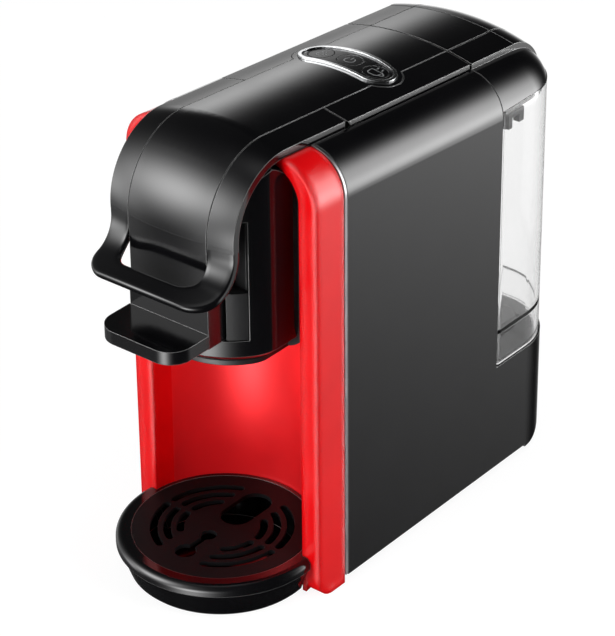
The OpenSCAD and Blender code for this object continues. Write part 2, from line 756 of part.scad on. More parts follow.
module piston_guide() {
    color("#4a4a4e") at_cup() translate([0, 0, holder_top + 19.2]) difference() {
        cylinder(h = 9, r = 14.9);
        translate([0, 0, -1]) cylinder(h = 12, r = guide_bore);
    }
}
module capsule_holder() {
    color("#1f1f21") at_cup() difference() {
        union() {
            translate([0, 0, holder_low]) cylinder(h = holder_top - holder_low, r = holder_half);
            translate([-holder_half, -holder_front, holder_low])
                cube([2 * holder_half, holder_front, holder_top - holder_low]);
            translate([0, 0, holder_low + 0.9]) linear_extrude(tab_t) {
                translate([-holder_half - 0.5, -tab_reach + tab_r])
                    square([2 * holder_half + 1, tab_reach - tab_r - holder_front]);
                translate([-holder_half - 0.5 + tab_r, -tab_reach])
                    square([2 * (holder_half + 0.5 - tab_r), tab_reach - holder_front]);
                for (s = [-1, 1]) translate([s * (holder_half + 0.5 - tab_r), -tab_reach + tab_r])
                    circle(tab_r);
            }
        }
        translate([0, 0, holder_low + 3]) cylinder(h = 40, r = well_r);
        translate([0, 0, holder_top - 1.6]) cylinder(h = 5, r = adapter_flange + 0.2);
        translate([0, 0, holder_low - 1]) cylinder(h = 6, r = 8);
    }
}
module capsule_adapter() {
    z0 = holder_low + 3;
    color("#55575a") at_cup() difference() {
        union() {
            translate([0, 0, z0]) cylinder(h = holder_top - z0, r = well_r - 0.1);
            translate([0, 0, holder_top - 1.6]) cylinder(h = 1.6, r = adapter_flange);
        }
        translate([0, 0, z0 + 2]) cylinder(h = 40, r1 = well_r - 3.5, r2 = well_r - 1, $fn = 96);
        for (a = [0:60:359]) rotate([0, 0, a]) translate([4.5, 0, z0 - 1]) cylinder(h = 5, r = 1.2, $fn = 24);
    }
}
module spout() {
    color("#2a2a2c") at_cup() translate([0, 0, holder_low + 0.1]) difference() {
        cylinder(h = 2.8, r = 7.95);
        for (s = [-1, 1]) translate([s * 3.4, 0, -1]) cylinder(h = 5, r = 2, $fn = 32);
    }
}

// Turned half of the tray: outer radius at the rim r, with a round lip when lip is above zero
module tray_outer(r, lip) {
    foot = r - 6.2;
    rotate_extrude($fn = 144) {
        polygon([
            [0, tray_low], [foot - 1.6, tray_low], [foot, tray_low + 1.6], [r - 1.6, 17.2],
            [r - 1.6, 17.7], [r, 18.4], [r, tray_top - lip], [r - lip, tray_top - lip],
            [r - lip, tray_top], [0, tray_top]
        ]);
        if (lip > 0) translate([r - lip, tray_top - lip]) intersection() {
            circle(lip, $fn = 64);
            square(lip + 1);
        }
    }
}
module tray_hollow(r) {
    seat_z = tray_top - grille_t - 0.1;
    rotate_extrude($fn = 144) polygon([
        [0, tray_low + 2.4], [r - 9.4, tray_low + 2.4], [r - 4.4, seat_z - 5.4],
        [grille_r - 2.4, seat_z - 2.4], [grille_r - 2.4, seat_z],
        [grille_r + slip_gap, seat_z], [grille_r + slip_gap, tray_top + 1], [0, tray_top + 1]
    ]);
}
module drip_tray() {
    split = frame_front - slip_gap - 0.1;
    color("#101011") at_cup() difference() {
        union() {
            intersection() {
                tray_outer(tray_r, 3.6);
                translate([-60, -60, 0]) cube([120, 60 + split, 60]);
            }
            tray_outer(tray_rear_r, 0);
        }
        intersection() {
            tray_hollow(tray_r);
            translate([-60, -60, 0]) cube([120, 60 + split - 2.4, 60]);
        }
        tray_hollow(tray_rear_r);
    }
}
// Arc slot with round ends, between two angles
module arc_slot(r, a0, a1) {
    rotate([0, 0, a0]) rotate_extrude(angle = a1 - a0, $fn = 96)
        translate([r - slot_w / 2, -5]) square([slot_w, 10]);
    for (a = [a0, a1]) rotate([0, 0, a]) translate([r, 0, -5])
        cylinder(h = 10, r = slot_w / 2 - 0.12, $fn = 32);
}
module drip_grille() {
    slot_x = 14.3;
    slot_y = 3;
    color("#111112") at_cup() translate([0, 0, tray_top - grille_t]) difference() {
        cylinder(h = grille_t, r = grille_r, $fn = 144);
        for (m = [0, 1], n = [0, 1]) mirror([m, 0, 0]) mirror([0, n, 0])
            for (r = [35, 28.2, 21.4]) arc_slot(r, asin(slot_y / r), acos(slot_x / r));
        for (y = [11.5, 26.5]) translate([0, y, -1]) cylinder(h = 5, r = 8.5);
        translate([-8.5, 11.5, -1]) cube([17, 15, 5]);
        translate([0, -10.7, -1]) cylinder(h = 5, r = 4.2);
        translate([0, -28.6, -1]) cylinder(h = 5, r = 5.6);
        translate([-1.8, -28.6, -1]) cube([3.6, 17.9, 5]);
    }
}

// Outline of the tank from above, shrunk by o
module tank_plan(o) {
    i = tank_inset + o;
    front = tank_front + 0.4 + o;
    r = 4 - min(o, 2.5);
    w = half_w - i;
    rear = rear_reach - 1 - o;
    R = plan_r - i;
    translate([-w + r, front]) square([2 * (w - r), 30]);
    translate([-w, front + r]) square([2 * w, rear - R - front - r]);
    translate([-w + R, front + r]) square([2 * (w - R), rear - front - r]);
    for (s = [-1, 1]) {
        translate([s * (w - R), rear - R]) intersection() {
            circle(R);
            translate([-R, 0]) square([2 * R, R]);
        }
        translate([s * (w - r), front + r]) circle(r, $fn = 32);
    }
}
module water_tank() {
    floor_t = 2.4;
    color([0.86, 0.89, 0.92, 0.5]) at_cup() difference() {
        intersection() {
            translate([0, 0, shelf_z + slip_gap]) linear_extrude(tank_top - shelf_z - slip_gap)
                tank_plan(0);
            casing_prism(tank_inset, tank_front - 5, rear_reach + 20);
        }
        translate([0, 0, tank_floor]) linear_extrude(200) tank_plan(tank_wall);
        translate([0, 0, shelf_z - 1]) linear_extrude(tank_floor - floor_t - shelf_z + 1)
            tank_plan(tank_wall);
        translate([valve_x, valve_y, shelf_z]) cylinder(h = 40, r = valve_r + 0.05);
    }
}
module tank_valve() {
    color("#2b2b2d") at_cup() translate([valve_x, valve_y, 0]) difference() {
        union() {
            translate([0, 0, tank_floor - 10]) cylinder(h = 12, r = valve_r);
            translate([0, 0, tank_floor]) cylinder(h = 1.8, r = valve_r + 3);
        }
        translate([0, 0, tank_floor - 8]) cylinder(h = 20, r = valve_r - 2);
        translate([0, 0, tank_floor - 20]) cylinder(h = 40, r = 2.2, $fn = 32);
    }
}
// Spring of the valve: separate coils, stood for by a stack of thin rings
module valve_spring() {
    wire = 0.7;
    color("#b9bcc0") at_cup() translate([valve_x, valve_y, tank_floor - 7.2]) {
        for (i = [0:4]) translate([0, 0, i * 1.5]) rotate_extrude($fn = 48)
            translate([4.6, 0]) circle(wire, $fn = 16);
        for (a = [0:120:359]) rotate([0, 0, a]) translate([4.6, 0, 0])
            cylinder(h = 6, r = 0.45, $fn = 16);
    }
}
module tank_filter() {
    color("#c9ccd0") at_cup() translate([valve_x, valve_y, tank_floor + 2.1]) difference() {
        cylinder(h = 9, r = valve_r + 1);
        translate([0, 0, -1]) cylinder(h = 8.6, r = valve_r - 0.6);
        for (a = [0:45:179]) rotate([0, 0, a]) translate([-20, -0.9, 1.5]) cube([40, 1.8, 5]);
    }
}
module tank_clip() {
    hook_t = 3.8;
    top = tank_top - 4.4;
    color("#1a1a1c") at_cup() both_sides()
        translate([half_w - tank_inset - tank_wall - 0.05 - hook_t, tank_front + 8, 0]) {
            translate([0, 0, top - 8.4]) cube([hook_t, 3, 8.4]);
            translate([0, 0, top - 2.8]) cube([hook_t, 13, 2.8]);
            translate([0, 9, top - 7.4]) cube([hook_t, 4, 7.4]);
        }
}
// Rounded half section at a rear corner: x is the distance from the corner's axis
module corner_section(o) {
    corner_z = arc_r - deck_drop - corner_r;
    square([plan_r - corner_r, corner_z + corner_r - o]);
    square([plan_r - o, corner_z]);
    translate([plan_r - corner_r, corner_z]) intersection() {
        circle(corner_r - o);
        square(corner_r);
    }
}
// Pillow-shaped block of the lid, shrunk by o: the casing's section turned round both corners
module lid_block(o, z0) {
    corner_x = half_w - plan_r;
    corner_y = rear_reach - 0.8 - plan_r - arc_y;
    front = tank_front + 0.4 + o;
    intersection() {
        top_frame() {
            translate([0, corner_y, 0]) rotate([90, 0, 0])
                linear_extrude(corner_y + 30) intersection() {
                    casing_section(o);
                    translate([-100, 0]) square([200, 200]);
                }
            translate([corner_x, corner_y, 0]) rotate_extrude(angle = 90) corner_section(o);
            translate([-corner_x, corner_y, 0]) rotate([0, 0, 90])
                rotate_extrude(angle = 90) corner_section(o);
            translate([-corner_x, corner_y, 0]) rotate([90, 0, 90])
                linear_extrude(2 * corner_x) corner_section(o);
        }
        translate([-80, front, z0]) cube([160, 200, 200]);
    }
}
// Crowned strip over the lid and down its rear, its top raised by lift
module lid_strip(x0, x1, t, lift = 0) {
    intersection() {
        union() {
            crown_top(x0 - 1, x1 + 1, t - 2 * skin, tank_front - 1,
                lid_arc_y + lid_arc_r * sin(top_slope) + lap, lift - skin);
            translate([0, lid_arc_y, lid_arc_z]) rotate([90, 0, 90])
                rotate_extrude(angle = top_angle)
                    crown_section(x0 - 1, x1 + 1, t + lift, lid_arc_r + lift);
        }
        width_slab(x0, x1);
    }
}
module tank_lid() {
    z0 = tank_top + 0.4;
    groove = 0.35;
    color("#141416") at_cup() {
        difference() {
            union() {
                lid_block(0.1, z0);
                intersection() {
                    lid_strip(-band_half, band_half, 7);
                    translate([-80, tank_front + seam, z0]) cube([160, 300, 200]);
                }
            }
            difference() {
                lid_block(wall, z0 - 1);
                translate([-80, 0, z0 - 4]) cube([160, 300, 0.1]);
            }
            both_sides() intersection() {
                lid_strip(strip_half - groove, strip_half + groove, 0.9, 1);
                translate([-80, 0, z0]) cube([160, 300, 200]);
            }
        }
        difference() {
            translate([0, 0, z0 - 4]) linear_extrude(8) tank_plan(tank_wall + 0.4);
            translate([0, 0, z0 - 5]) linear_extrude(10) tank_plan(tank_wall + 2);
        }
    }
}

module panel_bezel() {
    color("#c4c7cb") at_cup() difference() {
        panel_slab(-3.2, 1.1) bean(0);
        panel_slab(-9, 9) bean(-bezel_w);
    }
}
module panel_plate() {
    color("#0c0c0d") at_cup() difference() {
        panel_slab(-2.4, 0.3) bean(-bezel_w - 0.1);
        for (i = [0:2]) key_hole(i, key_r + slip_gap);
        panel_slab(-9, -1.4) for (i = [0:2])
            translate([key_x[i], key_y[i] - arc_y]) circle(key_r + 1.4);
    }
}
module key_hole(i, r) {
    top_frame() translate([key_x[i], key_y[i] - arc_y, arc_r - 20]) cylinder(h = 40, r = r);
}
// Key cap: round top that follows the crown, a collar below the plate and a plunger
module key_cap(i) {
    switch_z = arc_r - 5.4;
    color("#0c0c0d") at_cup() {
        panel_slab(-4, 0.3) translate([key_x[i], key_y[i] - arc_y]) circle(key_r);
        panel_slab(-4, -2.6) translate([key_x[i], key_y[i] - arc_y]) circle(key_r + 1);
        top_frame() translate([key_x[i], key_y[i] - arc_y, switch_z]) cylinder(h = 2.6, r = 1.8,
            $fn = 32);
    }
}
module button_small() { key_cap(0); }
module button_power() { key_cap(1); }
module button_large() { key_cap(2); }
module control_board() {
    color("#1d5a3a") at_cup() top_frame() translate([0, panel_rear_y - arc_y - 10, arc_r + board_z])
        linear_extrude(1.6) difference() {
            round_rect(41, 34, 2);
            for (sx = [-1, 1], sy = [-1, 1]) translate([sx * 17, sy * 14]) circle(1.4, $fn = 32);
        }
}
module key_switches() {
    color("#2c2c2e") at_cup() top_frame() for (i = [0:2])
        translate([key_x[i], key_y[i] - arc_y, arc_r + board_z + 1.6]) {
            translate([-3, -3, 0]) cube([6, 6, 2.4]);
            cylinder(h = 2.9, r = 1.6, $fn = 32);
        }
}

// Inner frame: deck with rails, bearing brackets and the heater's shelf
module chassis() {
    color("#3c3c40") at_cup() difference() {
        union() {
            for (s = [-1, 1]) translate([s * screw_x - 3, 58, casing_bottom + wall])
                cube([6, 84, pivot_z - 43]);
            translate([-44, 58, 92]) cube([88, 84, 3]);
            translate([-44, 58, 28]) cube([88, 84, 3]);
            both_sides() translate([20.2, 0, 0]) {
                translate([0, pivot_y - 9, pivot_z - 36]) cube([5.6, 18, 27.2]);
                side_view(11.2) intersection() {
                    translate([pivot_y, pivot_z]) circle(10);
                    square([100, pivot_z + 9]);
                }
            }
            translate([-48, pivot_y - 9, pivot_z - 38]) cube([96, 106, 3]);
        }
        both_sides() translate([19, pivot_y, pivot_z]) rotate([0, 90, 0]) cylinder(h = 8, r = 7.02);
        for (s = [-1, 1], y = screw_y) translate([s * screw_x, y, 0])
            cylinder(h = casing_bottom + 10, r = 1.78, $fn = 32);
        translate([-19.5, pivot_y - 12, pivot_z - 60]) cube([39, 44, 50]);
        translate([-19.9, 0, 200]) cube([39.8, 60, 60]);
    }
}
module pump() {
    color("#8f2b2b") at_cup() translate([0, 100, 0]) {
        translate([-16, -20, 40]) cube([32, 40, 34]);
        translate([0, 0, 33]) cylinder(h = 7, r = 12);
        translate([0, 0, 74]) cylinder(h = 9, r = 10);
        translate([0, 0, 83]) cylinder(h = 5, r = 4, $fn = 48);
    }
}
module pump_mounts() {
    color("#151515") at_cup() translate([0, 100, 0]) difference() {
        translate([0, 0, 31]) cylinder(h = 9, r = 17);
        translate([0, 0, 30]) cylinder(h = 12, r = 12.1);
    }
}
module thermoblock() {
    color("#b0b2b6") at_cup() {
        translate([-26, 76, 95]) cube([52, 48, 23]);
        for (i = [-2:2]) translate([i * 10 - 1.5, 78, 118]) cube([3, 44, 5]);
        translate([0, 100, 118]) cylinder(h = 14, r = 5, $fn = 48);
    }
}
module flow_meter() {
    color("#d8d8da") at_cup() translate([30, 112, 31]) {
        cylinder(h = 16, r = 10);
        translate([0, 0, 16]) cylinder(h = 4, r = 3, $fn = 48);
    }
}
// Pipe of square bends: cylinders along a list of points, with balls at the corners
module pipe(points, r) {
    for (i = [0:len(points) - 2]) {
        a = points[i];
        b = points[i + 1];
        d = b - a;
        translate(a) rotate([0, acos(d[2] / norm(d)), atan2(d[1], d[0])])
            cylinder(h = norm(d), r = r, $fn = 32);
        if (i > 0) translate(a) sphere(r + 0.25, $fn = 32);
    }
}
module inlet_hose() {
    color("#e2e2de") at_cup() pipe([[0, valve_y, 55], [0, valve_y, 48],
        [30, 150, 48], [30, 130, 55], [30, 112, 55], [30, 112, 51]], 2.6);
}
module pressure_hose() {
    color("#e2e2de") at_cup() pipe([[0, 100, 132], [0, 100, 150], [0, 60, 190], [0, 56, 200]], 2.4);
}
module cord_gland() {
    color("#141414") at_cup() translate([0, rear_reach, gland_z]) rotate([90, 0, 0]) difference() {
        union() {
            translate([0, 0, 0.05]) cylinder(h = 9, r = gland_r);
            translate([0, 0, wall + 0.1]) cylinder(h = 3, r = 8);
        }
        translate([0, 0, -1]) cylinder(h = 20, r = 3.2);
    }
}
module tank_dock() {
    flange_t = 3;
    dock_w = 2 * screw_x - 10;
    dock_d = rear_reach - tank_front - 26;
    pipe_z = shelf_z - 12.5;
    color("#1a1a1b") at_cup() difference() {
        union() {
            translate([0, 0, shelf_z - wall - flange_t]) linear_extrude(flange_t)
                translate([0, valve_y - 2]) round_rect(dock_w + 6, dock_d + 6, 8);
            translate([0, 0, shelf_z - wall - flange_t]) linear_extrude(8.4)
                translate([0, valve_y - 2]) round_rect(dock_w, dock_d, 8);
            translate([valve_x, valve_y, pipe_z]) cylinder(h = shelf_z + 8.5 - pipe_z, r = valve_r + 5);
        }
        translate([valve_x, valve_y, pipe_z - 1]) cylinder(h = 40, r = 3);
        translate([valve_x, valve_y, seat_z]) cylinder(h = 40, r = valve_r + 2);
    }
}
module dock_seal() {
    color("#7a2a20") at_cup() translate([valve_x, valve_y, seat_z + 0.1]) difference() {
        cylinder(h = 3, r = valve_r + 1.9);
        translate([0, 0, -1]) cylinder(h = 6, r = valve_r - 1);
    }
}

side_shell_left();
side_shell_right();
base_plate();
rubber_feet();
case_screws();
front_frame();
shell_trim();
head_core();
head_cover();
centre_cover();
top_strip_left();
top_strip_right();
panel_bezel();
panel_plate();
control_board();
key_switches();
chassis();
piston_guide();
lever_bushes();
pump();
pump_mounts();
thermoblock();
flow_meter();
inlet_hose();
pressure_hose();
cord_gland();
tank_dock();
dock_seal();
lever();
lever_shaft();
brew_piston();
piston_seal();
piercing_needles();
capsule_holder();
capsule_adapter();
spout();
drip_tray();
drip_grille();
water_tank();
tank_valve();
valve_spring();
tank_filter();
tank_clip();
tank_lid();
button_small();
button_power();
button_large();
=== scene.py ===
"""Looks of the pod coffee machine: materials, lever band, key signs, studio and camera."""
import json
import math
import bmesh
import bpy
from mathutils import Matrix, Vector
from mathutils.bvhtree import BVHTree


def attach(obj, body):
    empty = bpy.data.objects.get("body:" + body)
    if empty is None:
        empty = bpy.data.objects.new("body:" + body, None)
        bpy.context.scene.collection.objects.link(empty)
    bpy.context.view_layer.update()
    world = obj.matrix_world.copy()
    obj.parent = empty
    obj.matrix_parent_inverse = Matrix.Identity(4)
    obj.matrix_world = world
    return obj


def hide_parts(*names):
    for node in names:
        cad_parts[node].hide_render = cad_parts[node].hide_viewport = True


MM = 0.001
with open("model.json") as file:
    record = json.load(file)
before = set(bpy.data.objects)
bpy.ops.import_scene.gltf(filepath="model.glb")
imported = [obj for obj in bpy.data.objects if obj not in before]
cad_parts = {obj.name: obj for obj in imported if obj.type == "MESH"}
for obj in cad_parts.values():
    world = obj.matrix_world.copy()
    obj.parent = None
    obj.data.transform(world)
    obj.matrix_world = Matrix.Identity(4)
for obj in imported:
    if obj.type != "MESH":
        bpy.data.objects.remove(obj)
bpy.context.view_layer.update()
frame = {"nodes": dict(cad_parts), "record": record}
nodes = frame["nodes"]


def add_object(name, data):
    """A new object in the scene, made from a mesh, a camera or a light."""
    piece = bpy.data.objects.new(name, data)
    bpy.context.scene.collection.objects.link(piece)
    return piece


def surface(node):
    """Search tree over a CAD node's faces at rest, and its corners."""
    corners = [node.matrix_world @ vertex.co for vertex in node.data.vertices]
    faces = [face.vertices for face in node.data.polygons]
    return BVHTree.FromPolygons(corners, faces), corners


# ---------------------------------------------------------------- camera
CAMERA_AZIMUTH = 39.178      # degrees round from straight ahead
CAMERA_PITCH = 30.299        # degrees down
CAMERA_ROLL = -0.565
CAMERA_PLACE = Vector((0.8231, -1.0194, 0.8760))
CAMERA_LENS = 167.18         # mm on a 36 mm sensor, along the picture's long side


def make_camera():
    """The photo's camera."""
    data = bpy.data.cameras.new("camera")
    data.sensor_width = 36
    data.lens = CAMERA_LENS
    data.clip_start = 0.05
    data.clip_end = 50
    camera = add_object("camera", data)
    turn = Matrix.Rotation(math.radians(CAMERA_AZIMUTH), 4, "Z")
    tilt = Matrix.Rotation(math.radians(90 - CAMERA_PITCH), 4, "X")
    roll = Matrix.Rotation(math.radians(CAMERA_ROLL), 4, "Z")
    camera.matrix_world = Matrix.Translation(CAMERA_PLACE) @ turn @ tilt @ roll
    bpy.context.scene.camera = camera


# ---------------------------------------------------------------- materials
def new_material(name, color, rough, metallic=0.0, specular=0.5, **sockets):
    """A Principled material. Returns (material, its tree, its shader)."""
    material = bpy.data.materials.new(name)
    material.use_nodes = True
    tree = material.node_tree
    shader = tree.nodes["Principled BSDF"]
    shader.inputs["Base Color"].default_value = (*color, 1)
    shader.inputs["Roughness"].default_value = rough
    shader.inputs["Metallic"].default_value = metallic
    shader.inputs["Specular IOR Level"].default_value = specular
    for socket, value in sockets.items():
        shader.inputs[socket.replace("_", " ")].default_value = value
    return material, tree, shader


def noise(tree, scale, detail=3.0, stretch=(1, 1, 1)):
    """Noise over the part's own coordinates; scale is in features per metre."""
    place = tree.nodes.new("ShaderNodeTexCoord")
    mapping = tree.nodes.new("ShaderNodeMapping")
    mapping.inputs["Scale"].default_value = stretch
    texture = tree.nodes.new("ShaderNodeTexNoise")
    texture.inputs["Scale"].default_value = scale
    texture.inputs["Detail"].default_value = detail
    tree.links.new(place.outputs["Object"], mapping.inputs["Vector"])
    tree.links.new(mapping.outputs["Vector"], texture.inputs["Vector"])
    return texture.outputs["Fac"]


NOISE_SPAN = (0.3, 0.7)      # where most values of a noise texture lie


def vary(tree, value, low, high, socket):
    """Maps a noise value to the range low to high and puts it on the socket."""
    scale = tree.nodes.new("ShaderNodeMapRange")
    scale.inputs["From Min"].default_value = NOISE_SPAN[0]
    scale.inputs["From Max"].default_value = NOISE_SPAN[1]
    scale.inputs["To Min"].default_value = low
    scale.inputs["To Max"].default_value = high
    tree.links.new(value, scale.inputs["Value"])
    tree.links.new(scale.outputs["Result"], socket)


def vary_color(tree, value, first, second, socket):
    """Maps a noise value to colours from first to second and puts it on the socket."""
    ramp = tree.nodes.new("ShaderNodeValToRGB")
    for stop, position, color in zip(ramp.color_ramp.elements, NOISE_SPAN, (first, second)):
        stop.position = position
        stop.color = (*color, 1)
    tree.links.new(value, ramp.inputs["Fac"])
    tree.links.new(ramp.outputs["Color"], socket)


def add_bump(tree, shader, value, height, edge=0.4):
    """Bump of a real height in metres, over edges rounded by a radius in millimetres.
    Returns the normals of the rounded edges."""
    bump = tree.nodes.new("ShaderNodeBump")
    bump.inputs["Distance"].default_value = height
    rounded = tree.nodes.new("ShaderNodeBevel")
    rounded.samples = 6
    rounded.inputs["Radius"].default_value = edge * MM
    tree.links.new(rounded.outputs["Normal"], bump.inputs["Normal"])
    tree.links.new(value, bump.inputs["Height"])
    tree.links.new(bump.outputs["Normal"], shader.inputs["Normal"])
    return rounded.outputs["Normal"]


OPEN_FACE, FULL_EDGE = 0.995, 0.93       # rounded normal along the flat one


def edge_mask(tree, rounded):
    """1 on rounded edges and 0 on open faces."""
    geometry = tree.nodes.new("ShaderNodeNewGeometry")
    flat = tree.nodes.new("ShaderNodeVectorMath")
    flat.operation = "DOT_PRODUCT"
    tree.links.new(rounded, flat.inputs[0])
    tree.links.new(geometry.outputs["Normal"], flat.inputs[1])
    mask = tree.nodes.new("ShaderNodeMapRange")
    mask.inputs["From Min"].default_value = OPEN_FACE
    mask.inputs["From Max"].default_value = FULL_EDGE
    tree.links.new(flat.outputs["Value"], mask.inputs["Value"])
    return mask.outputs["Result"]


def gloss_plastic(name, color, rough=0.14, specular=0.5, edge_highlight_grey=0.16, edge=0.5, **more):
    """Polished moulding: a faint waviness, slightly uneven gloss and a painted highlight along the
    rounded edges.
    The edge tone sets the light grey of that painted highlight, and edge their radius in
    millimetres."""
    material, tree, shader = new_material(name, color, rough, specular=specular, **more)
    sheen, waves, tint = noise(tree, 55, 2), noise(tree, 260, 1), noise(tree, 30, 2)
    vary(tree, sheen, rough - 0.02, rough + 0.03, shader.inputs["Roughness"])
    rounded = add_bump(tree, shader, waves, 0.000004, edge)
    lighter = tuple(min(1, c * 1.12 + 0.0006) for c in color)
    if not edge_highlight_grey:
        vary_color(tree, tint, color, lighter, shader.inputs["Base Color"])
        return material
    # Painted highlight: a light grey mixed into the base colour on the rounded edges, where light
    # would catch them.
    edge_highlight = tree.nodes.new("ShaderNodeMix")
    edge_highlight.data_type = "RGBA"
    vary_color(tree, tint, color, lighter, edge_highlight.inputs["A"])
    edge_highlight.inputs["B"].default_value = (edge_highlight_grey, edge_highlight_grey, edge_highlight_grey, 1)
    tree.links.new(edge_mask(tree, rounded), edge_highlight.inputs["Factor"])
    tree.links.new(edge_highlight.outputs["Result"], shader.inputs["Base Color"])
    return material


def satin_plastic(name, color, rough=0.42, grain=1500, height=0.00004, specular=0.5):
    """Spark-eroded moulding with a fine grain."""
    material, tree, shader = new_material(name, color, rough, specular=specular)
    value = noise(tree, grain, 4)
    vary(tree, value, rough - 0.05, rough + 0.07, shader.inputs["Roughness"])
    lighter = tuple(min(1, c * 1.25 + 0.001) for c in color)
    vary_color(tree, value, color, lighter, shader.inputs["Base Color"])
    add_bump(tree, shader, value, height)
    return material


def metal(name, color, rough, grain=900, stretch=(1, 1, 1), height=0.00002):
    """Metal or plated plastic. The grain can be stretched into brushing."""
    material, tree, shader = new_material(name, color, rough, metallic=1.0)
    value = noise(tree, grain, 3, stretch)
    vary(tree, value, rough - 0.06, rough + 0.08, shader.inputs["Roughness"])
    darker = tuple(c * 0.86 for c in color)
    vary_color(tree, value, darker, color, shader.inputs["Base Color"])
    add_bump(tree, shader, value, height)
    return material


def clear_plastic(name):
    """Clear tank: thin moulded walls with a faint ripple."""
    material, tree, shader = new_material(name, (0.955, 0.955, 0.955), 0.05, specular=0.5,
                                          Transmission_Weight=1.0, IOR=1.3)
    vary(tree, noise(tree, 40, 2), 0.03, 0.09, shader.inputs["Roughness"])
    add_bump(tree, shader, noise(tree, 70, 1), 0.00003)
    return material


def make_materials():
    """Every material by name: the record's slots, then the ones that only this script uses."""
    black = (0.0025, 0.0025, 0.003)
    red = (0.72, 0.002, 0.004)
    return {
        "black_gloss": gloss_plastic("black_gloss", black, 0.10),
        "black_satin": satin_plastic("black_satin", (0.007, 0.007, 0.0075), 0.34),
        "red_gloss": gloss_plastic("red_gloss", red, 0.15, edge_highlight_grey=0.0, edge=5.0),
        "silver": metal("silver", (0.78, 0.79, 0.80), 0.16, 60, height=0.000002),
        "clear_plastic": clear_plastic("clear_plastic"),
        "dark_rubber": satin_plastic("dark_rubber", (0.012, 0.012, 0.012), 0.7),
        "seal_rubber": satin_plastic("seal_rubber", (0.25, 0.03, 0.025), 0.6),
        "steel": metal("steel", (0.56, 0.56, 0.58), 0.3, 2500, (1, 1, 0.08)),
        "grey_plastic": satin_plastic("grey_plastic", (0.11, 0.115, 0.125), 0.5),
        "white_plastic": satin_plastic("white_plastic", (0.62, 0.62, 0.6), 0.45),
        "cast_alloy": metal("cast_alloy", (0.5, 0.5, 0.5), 0.5, 1200, height=0.00008),
        "board_green": satin_plastic("board_green", (0.012, 0.1, 0.035), 0.35, 700),
        "hose_white": satin_plastic("hose_white", (0.7, 0.7, 0.68), 0.35, 500),
        "panel_black": gloss_plastic("panel_black", black, 0.2, specular=0.12, edge_highlight_grey=0.03),
        "grille_black": satin_plastic("grille_black", (0.006, 0.006, 0.0065), 0.4, specular=0.05),
        "icon_grey": satin_plastic("icon_grey", (0.22, 0.225, 0.23), 0.4),
        "trim_grey": metal("trim_grey", (0.34, 0.34, 0.35), 0.34, 60, height=0.000002),
        "red_niche": gloss_plastic("red_niche", (0.76, 0.012, 0.016), 0.36, edge_highlight_grey=0.0,
                                   metallic=0.35),
    }


# Nodes that look different from the rest of their slot
REPAINTED = {
    "capsule_holder": "black_gloss",
    "shell_trim": "trim_grey",
    "drip_grille": "grille_black",
    "panel_plate": "panel_black",
    "button_small": "panel_black",
    "button_power": "panel_black",
    "button_large": "panel_black",
}
NICHE_HALF = 46 * MM         # half width of the cup niche in the red frame
WING_FRONT = -73 * MM        # the niche's wall lies behind this, and the wings' fronts before it


def in_niche(face):
    """True for the faces of the niche's round wall."""
    forward = face.normal.y < -0.2
    return forward and abs(face.center.x) < NICHE_HALF and face.center.y > WING_FRONT


def paint(mesh, finish):
    """Gives every face of a mesh one material and smooth shading."""
    mesh.materials.clear()
    mesh.materials.append(finish)
    for face in mesh.polygons:
        face.material_index = 0
        face.use_smooth = True


def dress_nodes(materials):
    """Each CAD node in its slot's material, and the niche in its own red."""
    slots = {s["node"]: s["material_slot"] for s in frame["record"]["subparts"]}
    slots.update(REPAINTED)
    for name, piece in nodes.items():
        paint(piece.data, materials[slots[name]])
    red_frame = nodes["front_frame"].data
    red_frame.materials.append(materials["red_niche"])
    for face in red_frame.polygons:
        face.material_index = int(in_niche(face))


# ---------------------------------------------------------------- lever
# Sizes in mm. The front of the lever flares forwards and ends in a flat band round a loop.
CUP_BACK = 79.9              # the cup's axis lies this far in front of the frame's origin
CROWN_R = 155.0              # radius of the bow across the lever
ARM_OUT, ARM_IN = 38.5, 24.7             # half widths over and between the arms
ARM_CUT = 208.7              # the CAD arms are kept above this height
FLARE_TOP = 205.7
FLARE_R = 11.3
FLARE_END = 70.0             # degrees
BAND_T = 4.2
BAND_RUN = 15.7              # straight run from the flare to the front edge
BAND_LENGTH = math.radians(FLARE_END) * FLARE_R + BAND_RUN
BAR_WIDTH = 10.8
OUTER_CORNER, INNER_CORNER = 13.0, 10.0
FRONT_BOW = 0.7              # share of the crown's bow that the front edge takes
ARM_EDGE, BAR_EDGE = 0.25, 1.6           # edge radii at the arms and along the bar
EDGE_GROWTH = 0.6            # share of the band's length over which the edges grow rounder
SIDE_STEPS, CORNER_STEPS, BAR_STEPS = 14, 12, 24
FLAT_STEPS, EDGE_STEPS = 6, 4


def bow(x):
    """How far the crown has dropped at a place across the lever."""
    return x * x / (2 * CROWN_R)


def arm_front():
    """How far the CAD arms' outer face lies in front of the cup's axis, at the middle."""
    x = (ARM_OUT + ARM_IN) / 2
    tree, _ = surface(nodes["lever"])
    hit = tree.ray_cast((x * MM, -0.5, (ARM_CUT + 1) * MM), (0, 1, 0))[0]
    return -hit.y / MM - CUP_BACK + bow(x)


def band_point(front, x, s, depth):
    """Place on the lever's band: x across, s down the front from the flare's top."""
    arc = math.radians(FLARE_END) * FLARE_R
    turn = max(0.0, min(s, arc)) / FLARE_R
    past = s - arc if s > arc else min(s, 0.0)
    sink = depth + bow(x)
    y = -front - FLARE_R * (1 - math.cos(turn)) - past * math.sin(turn) + sink * math.cos(turn)
    z = FLARE_TOP - FLARE_R * math.sin(turn) - past * math.cos(turn) - sink * math.sin(turn)
    return (x * MM, (y - CUP_BACK) * MM, z * MM)


